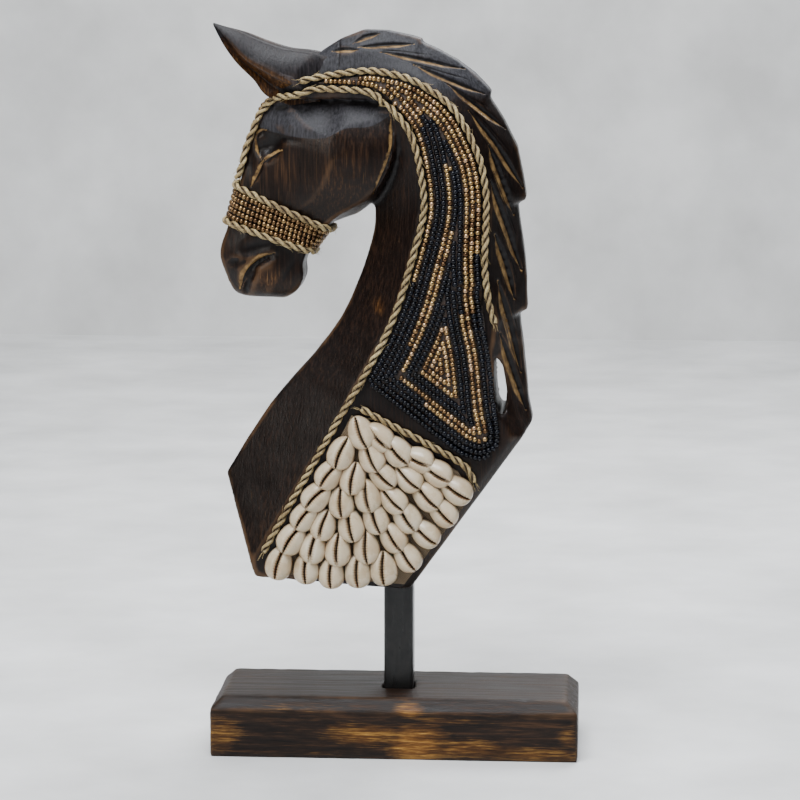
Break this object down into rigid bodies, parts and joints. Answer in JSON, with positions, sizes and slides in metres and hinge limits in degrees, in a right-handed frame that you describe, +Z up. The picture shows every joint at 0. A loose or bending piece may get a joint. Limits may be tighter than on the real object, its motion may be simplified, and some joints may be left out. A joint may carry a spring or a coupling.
{
  "type": "wooden horse sculpture",
  "caption": "Carved wooden horse head and neck with rope, bead and cowrie shell trim, standing on a square post in a rectangular wooden base block.",
  "frame": {"origin": "centre of the base block's underside", "axes": "+Z up; the horse looks towards -X; its sides face -Y and +Y"},
  "size_m": [0.2, 0.075, 0.3963],
  "materials": {
    "stained_wood": "dark brown-black stain over hand-carved softwood, worn golden in the cuts, satin wax",
    "burnt_wood": "burnt and stained block with open grain and lighter golden patches",
    "black_paint": "black painted square post, satin",
    "plaited_fibre": "twisted dry grass rope",
    "seed_beads": "opaque metallic bronze and glossy black glass seed beads in glue",
    "cowrie_shell": "natural glossy cream cowrie shells, slit side out, on a woven fibre backing"
  },
  "bodies": {
    "root": {"base_block": "burnt_wood", "post": "black_paint", "carved_horse": "stained_wood", "front_rope_left": "plaited_fibre", "front_rope_right": "plaited_fibre", "crest_rope_left": "plaited_fibre", "crest_rope_right": "plaited_fibre", "shell_rope_left": "plaited_fibre", "shell_rope_right": "plaited_fibre", "noseband_rope_upper": "plaited_fibre", "noseband_rope_lower": "plaited_fibre", "noseband_beads": "seed_beads", "face_beads": "seed_beads", "neck_beads_left": "seed_beads", "neck_beads_right": "seed_beads", "shell_panel_left": "cowrie_shell", "shell_panel_right": "cowrie_shell"}
  },
  "joints": []
}
